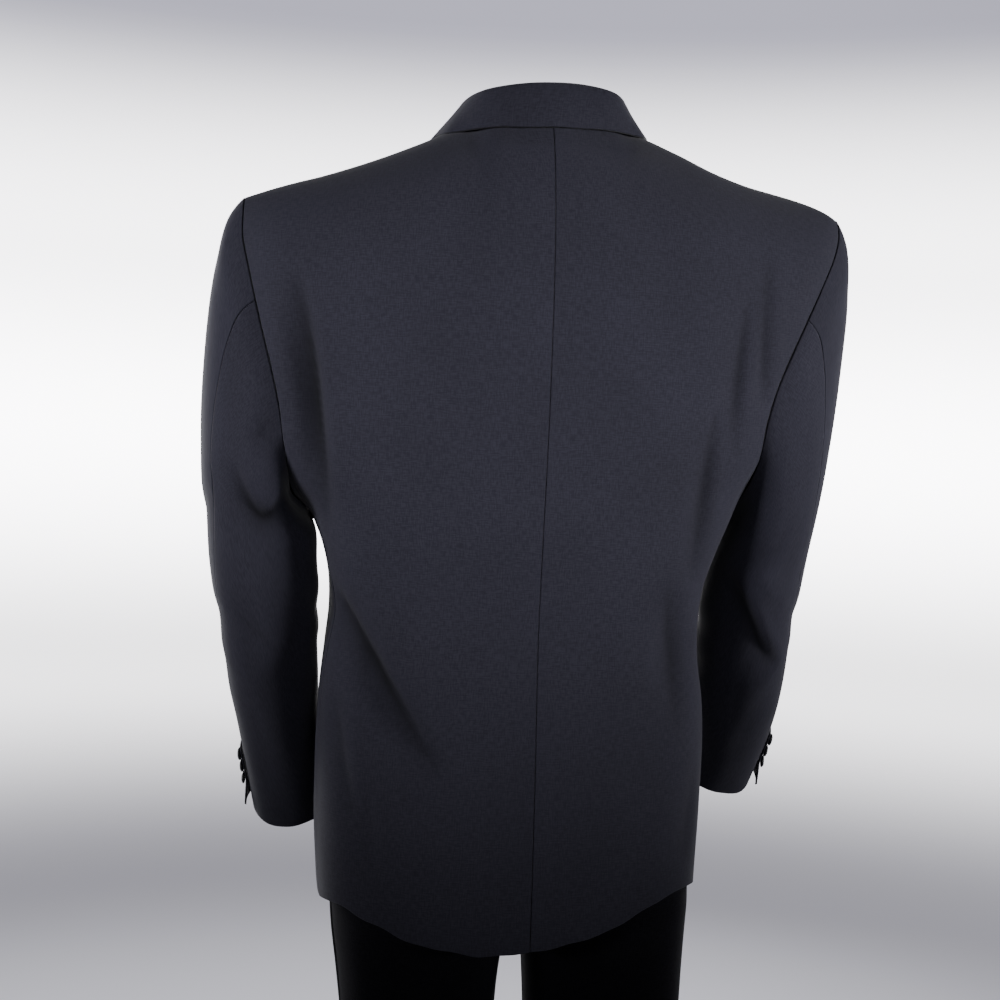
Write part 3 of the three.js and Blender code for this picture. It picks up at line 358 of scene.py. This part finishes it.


# The grid with its creases and an uneven hem, and the painted shade for each point in a deep crease.
def press(points, creases):
    normals = square_to(points)
    moved = np.zeros(points.shape[:2])
    dark = np.zeros(points.shape[:2])
    for row in creases:
        view = np.array(seen_from[row["seen"]])
        axis = 1 if view[0] else 0
        flat = np.stack((points[:, :, axis], points[:, :, 2]), axis=2) * 1000
        start, middle, end = (np.array(point, float) for point in row["path"])
        t = np.linspace(0, 1, 61)[:, None]
        bend = 2 * middle - (start + end) / 2
        path = (1 - t) ** 2 * start + 2 * t * (1 - t) * bend + t * t * end
        away = flat[:, :, None, :] - path[None, None]
        distance = np.linalg.norm(away, axis=3)
        nearest = distance.argmin(2)
        heading = np.gradient(path, axis=0)
        heading /= np.linalg.norm(heading, axis=1, keepdims=True)
        picked = np.take_along_axis(away, nearest[:, :, None, None], axis=2)[:, :, 0]
        ahead = heading[nearest]
        side = ahead[:, :, 0] * picked[:, :, 1] - ahead[:, :, 1] * picked[:, :, 0]
        wall = np.where(side * row["steep"] > 0, row["fade"], row["width"])
        reach = distance.min(2)
        away = reach / wall
        trough = np.exp(-(away ** 1.6)) - 0.15 * np.exp(-((away - 2.1) ** 2))
        along = np.sin(np.pi * (nearest / 60) ** row["late"])
        along = np.maximum(along, 0) ** 0.8
        facing = np.clip((normals @ view) * 1.8, 0, 1)
        moved -= row["depth"] * along * trough * facing
        # Painted shade: points in and beside a deep crease get a darkening amount for the base colour,
        # strongest at the core.
        deep = min(1, max(0, row["depth"] - 1.8) / 6)
        broad = np.exp(-((reach / np.minimum(wall * 1.1, 13)) ** 1.4))
        core = np.exp(-((reach / 4.5) ** 2))
        dim = 0.65 * broad + 0.35 * core
        dark = np.maximum(dark, deep * along ** 1.2 * facing * dim)
    x, y, z = (points[:, :, k] * 1000 for k in range(3))
    wave = 0.9 * np.sin(x / 21 + y / 60) + 0.7 * np.sin(x / 9.3 - y / 17 + 1) + 0.5 * np.sin(x / 5.1 + 2)
    low = np.exp(-(((z - z[-1:]) / 30) ** 2))
    points = points + (wave * low / 1000)[:, :, None] * np.array([0, 0, 0.8])
    settled = 0.22 * np.sin(x / 31 + z / 53 + 1.3) + 0.2 * np.sin(z / 37 - y / 29 + 0.4)
    settled += 0.16 * np.sin(x / 17 - z / 71 + 2.2) + 0.1 * np.sin(z / 13 + x / 41 + y / 19)
    return points + normals * ((moved + settled) / 1000)[:, :, None], dark


# The grid with a row close inside each edge, and two rings outside it that turn the edge under.
def turn_edges(points, under):
    edge_row = 0.0011
    for axis in (0, 1):
        points = np.moveaxis(points, axis, 0)
        close = []
        for first, second, third in (points[:3], points[:-4:-1]):
            t = edge_row / np.linalg.norm(second - first, axis=1).mean()
            place = first * (1 - t) * (2 - t) / 2 + second * t * (2 - t) - third * t * (1 - t) / 2
            close.append(place)
        points = np.concatenate((points[:1], close[:1], points[1:-1], close[1:], points[-1:]))
        points = np.moveaxis(points, 0, axis)
    count, wide = points.shape[:2]
    normals = square_to(points)
    down = np.gradient(points, axis=0)
    over = np.gradient(points, axis=1)
    down /= np.linalg.norm(down, axis=2, keepdims=True)
    over /= np.linalg.norm(over, axis=2, keepdims=True)
    place_row = np.arange(-2, count + 2)
    place_col = np.arange(-2, wide + 2)
    rows = np.clip(place_row, 0, count - 1)
    cols = np.clip(place_col, 0, wide - 1)
    past_row = np.abs(place_row - rows)
    past_col = np.abs(place_col - cols)
    past = np.maximum(past_row[:, None], past_col[None])
    on_row = np.where(rows == 0, -1, np.where(rows == count - 1, 1, 0))
    on_col = np.where(cols == 0, -1, np.where(cols == wide - 1, 1, 0))
    outward = np.array([-0.00018, -0.00004, 0.0004])
    inward = np.array([0, 0.0008, under])
    grid = points[np.ix_(rows, cols)].copy()
    grid += down[np.ix_(rows, cols)] * (on_row * outward[past_row])[:, None, None]
    grid += over[np.ix_(rows, cols)] * (on_col * outward[past_col])[None, :, None]
    grid -= normals[np.ix_(rows, cols)] * inward[past][:, :, None]
    return grid


# A piece of cloth from a grid: its threads hang straight down, or else run along the grid.
def sew(name, points, cloth, wall, dark=None, hangs=True):
    count, wide = points.shape[:2]
    mesh = bpy.data.meshes.new(name)
    index = np.arange(count * wide).reshape(count, wide)
    quads = np.stack((index[:-1, :-1], index[1:, :-1], index[1:, 1:], index[:-1, 1:]), axis=2)
    mesh.from_pydata(points.reshape(-1, 3).tolist(), [], quads.reshape(-1, 4).tolist())
    down = np.linalg.norm(np.diff(points, axis=0), axis=2)
    over = np.linalg.norm(np.diff(points, axis=1), axis=2)
    v = np.concatenate((np.zeros((1, wide)), np.cumsum(down, axis=0)))
    u = np.concatenate((np.zeros((count, 1)), np.cumsum(over, axis=1)), axis=1)
    u -= u[:, wide // 2:wide // 2 + 1]
    if hangs:
        spine = points[:, wide // 2]
        level = np.diff(points[:, :, :2], axis=1)
        steps = np.linalg.norm(level, axis=2)
        u = np.concatenate((np.zeros((count, 1)), np.cumsum(steps, axis=1)), axis=1)
        along = level[:, wide // 2].mean(0)
        along /= np.linalg.norm(along)
        u += (spine[:, :2] @ along)[:, None] - u[:, wide // 2:wide // 2 + 1]
        fall = v[:, wide // 2]
        v = np.interp(-points[:, :, 2], -spine[:, 2], fall)
        v += np.minimum(spine[0, 2] - points[:, :, 2], 0)
        v += np.maximum(spine[-1, 2] - points[:, :, 2], 0)
    flat = np.stack((u.ravel(), -v.ravel()), axis=1)
    layer = mesh.uv_layers.new(name="cloth")
    loops = np.zeros(len(mesh.loops), int)
    mesh.loops.foreach_get("vertex_index", loops)
    layer.data.foreach_set("uv", flat[loops].ravel())
    # Painted shade: the two turned-under rings along every edge and the close row inside them darken the
    # base colour as shade in the seam groove, and the deep creases from press() add their painted shade.
    in_row = np.minimum(np.arange(count), np.arange(count)[::-1])
    in_col = np.minimum(np.arange(wide), np.arange(wide)[::-1])
    ring = np.minimum(np.minimum(in_row[:, None], in_col[None]), 3)
    shade = mesh.attributes.new("painted_shade", "FLOAT", "POINT")
    groove_shade = np.array([0.9, 0.5, 0.06, 0])[ring]
    if dark is not None:
        groove_shade = np.maximum(groove_shade, np.pad(dark, 3, mode="edge"))
    shade.data.foreach_set("value", groove_shade.ravel())
    mesh.materials.append(cloth)
    piece = bpy.data.objects.new(name, mesh)
    bpy.context.scene.collection.objects.link(piece)
    bpy.ops.object.select_all(action="DESELECT")
    bpy.context.view_layer.objects.active = piece
    piece.select_set(True)
    bpy.ops.object.shade_smooth()
    wall_maker = piece.modifiers.new("wall", "SOLIDIFY")
    wall_maker.thickness = wall
    wall_maker.offset = -1
    bpy.ops.object.modifier_apply(modifier=wall_maker.name)
    return piece


body_creases = [
    crease("back", (219, -132), (203, -214), (182, -366), width=6.5, depth=8.5, fade=15, late=1.5),
    crease("back", (190, -396), (141, -473), (80, -568), width=6, depth=9, fade=34, late=1.1),
    crease("back", (174, -500), (166, -552), (152, -615), width=6, depth=3.6, fade=15),
    crease("back", (142, -560), (140, -612), (132, -662), width=8, depth=2.2),
    crease("back", (-196, -100), (-193, -178), (-198, -245), width=6, depth=3.8, fade=15),
    crease("back", (-176, -140), (-170, -206), (-168, -290), width=6, depth=4.4, fade=15),
    crease("back", (-150, -235), (-145, -318), (-138, -405), width=7, depth=4.6, fade=18),
    crease("back", (-112, -395), (-124, -458), (-129, -535), width=12, depth=5.2, fade=20),
    crease("back", (-150, -560), (-146, -610), (-138, -655), width=10, depth=2.4),
    crease("back", (-78, -60), (-92, -112), (-97, -180), width=15, depth=1.6),
    crease("back", (82, -60), (90, -118), (88, -196), width=17, depth=1.5),
    crease("back", (120, -180), (130, -300), (118, -430), width=20, depth=1.8),
    crease("back", (60, -250), (66, -350), (58, -470), width=22, depth=0.9),
    crease("back", (-66, -230), (-60, -330), (-64, -450), width=22, depth=0.9),
    crease("front", (172, -330), (130, -372), (60, -398), width=9, depth=3.6),
    crease("front", (-170, -335), (-122, -378), (-52, -402), width=9, depth=3.2),
    crease("front", (160, -440), (104, -414), (46, -404), width=10, depth=2.6),
    crease("front", (-150, -446), (-98, -418), (-44, -408), width=10, depth=2.4),
    crease("front", (196, -180), (180, -250), (172, -330), width=12, depth=2.8),
    crease("front", (-186, -185), (-168, -250), (-160, -320), width=12, depth=2.6),
    crease("left", (20, -360), (8, -450), (14, -560), width=12, depth=1.6),
    crease("right", (24, -350), (10, -440), (16, -540), width=12, depth=1.5),
]
body_spacing, wool_shown, wool_under = 0.0032, 0.0009, 0.0032


# A point inside the body behind a point of its cloth.
def inside_body(point):
    return Vector((point.x * 0.3, 0.006, min(point.z - 0.06, -0.2)))


body_panels = [
    {"node": "jacket_back_left", "name": "back_left"},
    {"node": "jacket_back_right", "name": "back_right"},
    {"node": "jacket_side_left", "name": "side_left"},
    {"node": "jacket_side_right", "name": "side_right"},
    {"node": "jacket_front_left", "name": "front_left"},
    {"node": "jacket_front_right", "name": "front_right"},
]
for row in body_panels:
    shape = finer(panel_points(row["node"], wool_wall, inside_body), body_spacing)
    shape, dark = press(shape, body_creases)
    panel = sew(row["name"], turn_edges(shape, wool_under), jacket_wool, wool_shown, dark)
    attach(panel, "root")
    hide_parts(row["node"])

# Sleeves
# Each has an upper and an under part joined by the hindarm seam behind and the forearm seam before, set
# into the armhole with a little fullness over the cap. They bend at the elbow, where the cloth breaks.
sleeve_creases = [
    crease("back", (208, -312), (238, -352), (268, -300), width=5.5, depth=10, fade=32, steep=-1),
    crease("back", (222, -296), (242, -318), (262, -292), width=12, depth=-3),
    crease("back", (230, -262), (240, -282), (252, -278), width=9, depth=2.4),
    crease("back", (208, -372), (214, -430), (206, -520), width=16, depth=4),
    crease("back", (262, -420), (244, -458), (206, -478), width=7, depth=2.6, fade=18),
    crease("back", (252, -520), (238, -570), (232, -630), width=10, depth=1.8),
    crease("back", (-180, -386), (-211, -449), (-240, -482), width=5.5, depth=9, fade=28),
    crease("back", (-196, -386), (-220, -406), (-240, -422), width=12, depth=-3),
    crease("back", (-236, -330), (-220, -368), (-192, -384), width=9, depth=2.6),
    crease("back", (-204, -470), (-206, -520), (-212, -560), width=12, depth=2.6),
    crease("back", (-240, -505), (-226, -545), (-220, -590), width=10, depth=1.8),
    crease("left", (50, -330), (10, -352), (-34, -350), width=12, depth=2),
    crease("left", (34, -430), (-10, -448), (-60, -436), width=11, depth=2.8),
    crease("left", (10, -480), (-28, -484), (-70, -468), width=10, depth=2.2),
    crease("right", (44, -420), (4, -438), (-52, -430), width=11, depth=2.8),
    crease("right", (18, -462), (-26, -470), (-76, -456), width=10, depth=2.2),
    crease("front", (206, -430), (234, -448), (262, -438), width=9, depth=4.4),
    crease("front", (204, -470), (230, -480), (258, -470), width=8, depth=3.2),
    crease("front", (-198, -424), (-224, -442), (-254, -432), width=9, depth=4.2),
    crease("front", (-198, -462), (-224, -474), (-252, -464), width=8, depth=3.2),
    crease("front", (230, -190), (240, -250), (238, -320), width=13, depth=2.6),
    crease("front", (-226, -190), (-232, -250), (-228, -320), width=13, depth=2.4),
]
sleeve_spacing = 0.0036
arm_line = {
    "left": [
        (-0.350, 0.2415, 0.008), (-0.462, 0.229, -0.007),
        (-0.575, 0.217, -0.070), (-0.646, 0.2065, -0.112),
    ],
    "right": [
        (-0.350, -0.225, 0.006), (-0.455, -0.214, -0.016),
        (-0.552, -0.218, -0.075), (-0.606, -0.214, -0.112),
    ],
}


# The same for an arm, from the line that its sleeve follows, and for a leg.
def inside_arm(side):
    heights, xs, ys = zip(*reversed(arm_line[side]))

    def behind(point):
        x = np.interp(point.z, heights, xs)
        y = np.interp(point.z, heights, ys)
        return Vector((x, y, point.z - 0.02))

    return behind


for side in ("left", "right"):
    for part in ("upper", "under"):
        node = "sleeve_" + part + "_" + side
        shape = finer(panel_points(node, wool_wall, inside_arm(side)), sleeve_spacing)
        shape, dark = press(shape, sleeve_creases)
        shape = turn_edges(shape, wool_under)
        panel = sew(part + "_sleeve_" + side, shape, jacket_wool, wool_shown, dark, hangs=False)
        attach(panel, "root")
        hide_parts(node)

# Collar
# One stand and fall in the jacket's cloth over its undercollar. It stands round the neck, folds over softly
# and its fall lies on the backs.
collar_spacing, collar_under = 0.003, 0.0024
shape = panel_points("collar", wool_wall, lambda point: Vector((point.x, point.y, -0.3)))
shape = finer(shape, collar_spacing)
shape = turn_edges(press(shape, [])[0], collar_under)
collar = sew("collar_fold", shape, jacket_wool, wool_shown, hangs=False)
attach(collar, "root")
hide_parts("collar")

# Lapels
# Notch lapels faced with black satin, turned out at the roll line and pressed on the fronts. The satin is
# smooth, with a very fine grain and a soft gloss.
lapel_satin = weave_cloth(
    "lapel_satin", dark=(0.006, 0.006, 0.008), pale=(0.012, 0.012, 0.015), thread=0.0006,
    rough=0.34, sheen=0.08, contrast=0.2, bump=0.00005, shine=0.25,
)
satin_shown, satin_under, lapel_spacing = 0.0005, 0.0011, 0.004


# A point behind the cloth that lies on a front.
def behind_front(point):
    return Vector((point.x, point.y + 0.05, point.z))


for side in ("left", "right"):
    shape = finer(panel_points("lapel_" + side, satin_wall, behind_front), lapel_spacing)
    shape = turn_edges(shape, satin_under)
    lapel = sew("satin_lapel_" + side, shape, lapel_satin, satin_shown, hangs=False)
    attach(lapel, "root")
    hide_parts("lapel_" + side)

# Pockets
# A slanting breast welt in the jacket's cloth on the left front, and a hip pocket jetted in satin on each
# front.
pocket_rows = [
    {"node": "breast_welt", "name": "welt", "cloth": jacket_wool, "slot": "jacket_wool"},
    {"node": "pocket_jets_left", "name": "jetting_left", "cloth": lapel_satin, "slot": "satin"},
    {"node": "pocket_jets_right", "name": "jetting_right", "cloth": lapel_satin, "slot": "satin"},
]
pocket_spacing, slit_depth = 0.002, 0.0007
for row in pocket_rows:
    shape = finer(panel_points(row["node"], satin_wall, behind_front), pocket_spacing)
    if row["slot"] == "satin":
        down = np.linspace(-1, 1, shape.shape[0])[:, None, None]
        shape = shape - square_to(shape) * slit_depth * np.exp(-((down / 0.18) ** 2))
    shape = turn_edges(shape, satin_under)
    strip = sew("pocket_" + row["name"], shape, row["cloth"], satin_shown, hangs=False)
    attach(strip, "root")
    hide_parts(row["node"])

# Vent flaps
# The end of each hindarm seam laps over in a narrow flap of the jacket's cloth that springs off the cuff,
# with the three buttons sewn on it.
flap_spacing, flap_under, flap_shown = 0.003, 0.0016, 0.0007
for side in ("left", "right"):
    shape = finer(panel_points("vent_flap_" + side, wool_wall, inside_arm(side)), flap_spacing)
    flap = sew("vent_" + side, turn_edges(shape, flap_under), jacket_wool, flap_shown)
    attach(flap, "root")
    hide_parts("vent_flap_" + side)

# Trousers
# Plain straight trousers in a near-black worsted: each leg has a front and a back with pressed creases, a
# waistband goes on top and a satin braid down each side seam.
trouser_wool = weave_cloth(
    "trouser_wool", dark=(0.0042, 0.004, 0.006), pale=(0.008, 0.0077, 0.0112), thread=0.0011,
    rough=0.95, sheen=0.004, contrast=0.09, bump=0.0002, shine=0.04,
)
leg_creases = [
    crease("back", (92, -660), (90, -1060), (92, -1500), width=4, depth=-1.6),
    crease("back", (-92, -660), (-90, -1060), (-93, -1500), width=4, depth=-1.6),
    crease("front", (90, -560), (90, -1020), (92, -1500), width=4, depth=-1.8),
    crease("front", (-90, -560), (-90, -1020), (-93, -1500), width=4, depth=-1.8),
    crease("back", (20, -700), (62, -735), (118, -742), width=10, depth=2.6),
    crease("back", (-20, -700), (-60, -738), (-116, -748), width=10, depth=2.6),
    crease("back", (30, -760), (70, -800), (104, -806), width=11, depth=1.6),
    crease("back", (-34, -770), (-70, -806), (-110, -806), width=11, depth=1.6),
    crease("back", (60, -1060), (96, -1074), (136, -1056), width=12, depth=2.0),
    crease("back", (-58, -1050), (-96, -1070), (-138, -1052), width=12, depth=2.0),
    crease("back", (60, -1330), (94, -1350), (130, -1340), width=13, depth=1.6),
    crease("back", (-62, -1340), (-94, -1356), (-130, -1344), width=13, depth=1.6),
    crease("front", (30, -690), (74, -668), (120, -620), width=11, depth=2.0),
    crease("front", (-30, -690), (-74, -668), (-118, -622), width=11, depth=2.0),
    crease("front", (58, -1390), (92, -1404), (130, -1392), width=12, depth=2.0),
    crease("front", (-58, -1396), (-94, -1408), (-130, -1390), width=12, depth=2.0),
]


def inside_leg(side):
    def behind(point):
        return Vector((side * 0.085, 0.004, point.z))

    return behind


leg_spacing, leg_under, leg_shown = 0.008, 0.0028, 0.0008
braid_spacing, braid_under, braid_shown = 0.005, 0.0007, 0.0004
for side, way in (("left", 1), ("right", -1)):
    for half in ("back", "front"):
        node = "trouser_" + half + "_" + side
        shape = finer(panel_points(node, trouser_wall, inside_leg(way)), leg_spacing)
        shape, dark = press(shape, leg_creases)
        shape = turn_edges(shape, leg_under)
        panel = sew(half + "_leg_" + side, shape, trouser_wool, leg_shown, dark)
        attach(panel, "root")
        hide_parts(node)
    node = "side_braid_" + side
    shape = panel_points(node, braid_wall, lambda point: Vector((0, point.y, point.z)))
    shape = finer(shape, braid_spacing)
    braid = sew("satin_braid_" + side, turn_edges(shape, braid_under), lapel_satin, braid_shown)
    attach(braid, "root")
    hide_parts(node)

band_spacing, band_under, band_shown = 0.005, 0.0014, 0.0007
shape = panel_points("waistband", trouser_wall, lambda point: Vector((0, 0, -0.411)))
shape = finer(shape, band_spacing)
band = sew("trouser_band", turn_edges(shape, band_under), trouser_wool, band_shown)
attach(band, "root")
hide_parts("waistband")

# Buttons
# Shank buttons covered in black satin: one closes the fronts and three lie on each vent flap. The cloth is
# drawn over a low dome and gathered under its rim.
gathers = 14
button_rows = [{"node": "front_button", "outward": (0, -1, 0)}]
for side, way in (("left", 1), ("right", -1)):
    for number in (1, 2, 3):
        button_rows.append({"node": "sleeve_button_" + side + "_" + str(number), "outward": (way, 0, 0)})
for row in button_rows:
    form = bmesh.new()
    form.from_mesh(nodes[row["node"]].data)
    bmesh.ops.remove_doubles(form, verts=form.verts, dist=merge_distance)
    places = np.array([v.co[:] for v in form.verts])
    form.free()
    middle = places.mean(0)
    spread = np.linalg.eigh(np.cov((places - middle).T))[1]
    axis = spread[:, 0] * np.sign(spread[:, 0] @ np.array(row["outward"]))
    height = (places - middle) @ axis
    low, high = height.min(), height.max()
    flat = (places - middle) - np.outer(height, axis)
    radius = np.linalg.norm(flat, axis=1).max()
    bpy.ops.object.select_all(action="DESELECT")
    bpy.ops.mesh.primitive_uv_sphere_add(segments=40, ring_count=20, radius=1, location=(0, 0, 0))
    button = bpy.context.object
    button.name = row["node"].replace("button", "dome")
    for vert in button.data.vertices:
        x, y, z = vert.co
        out = math.hypot(x, y)
        turn = math.atan2(y, x)
        rim = 1 - abs(z)
        tuck = 1 + 0.012 * math.cos(gathers * turn) * max(0, -z)
        upper = 0.42 + 0.58 * z
        under = 0.42 * (1 + z)
        tall = (high - low) * (upper if z > 0 else under)
        wide = radius * (out ** 0.55) * tuck
        if out > 0:
            vert.co = (x / out * wide, y / out * wide, tall + (high - low) * 0.02 * rim)
        else:
            vert.co = (0, 0, tall)
    turned = Vector((0, 0, 1)).rotation_difference(Vector(axis)).to_matrix().to_4x4()
    turned.translation = Vector(middle + axis * low)
    button.data.transform(turned)
    layer = button.data.uv_layers.active
    layer.name = "cloth"
    for loop in button.data.loops:
        place = turned.inverted() @ button.data.vertices[loop.vertex_index].co
        layer.data[loop.index].uv = (place.x, place.y)
    bpy.ops.object.shade_smooth()
    button.data.materials.append(lapel_satin)
    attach(button, "root")
    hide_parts(row["node"])

low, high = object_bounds()
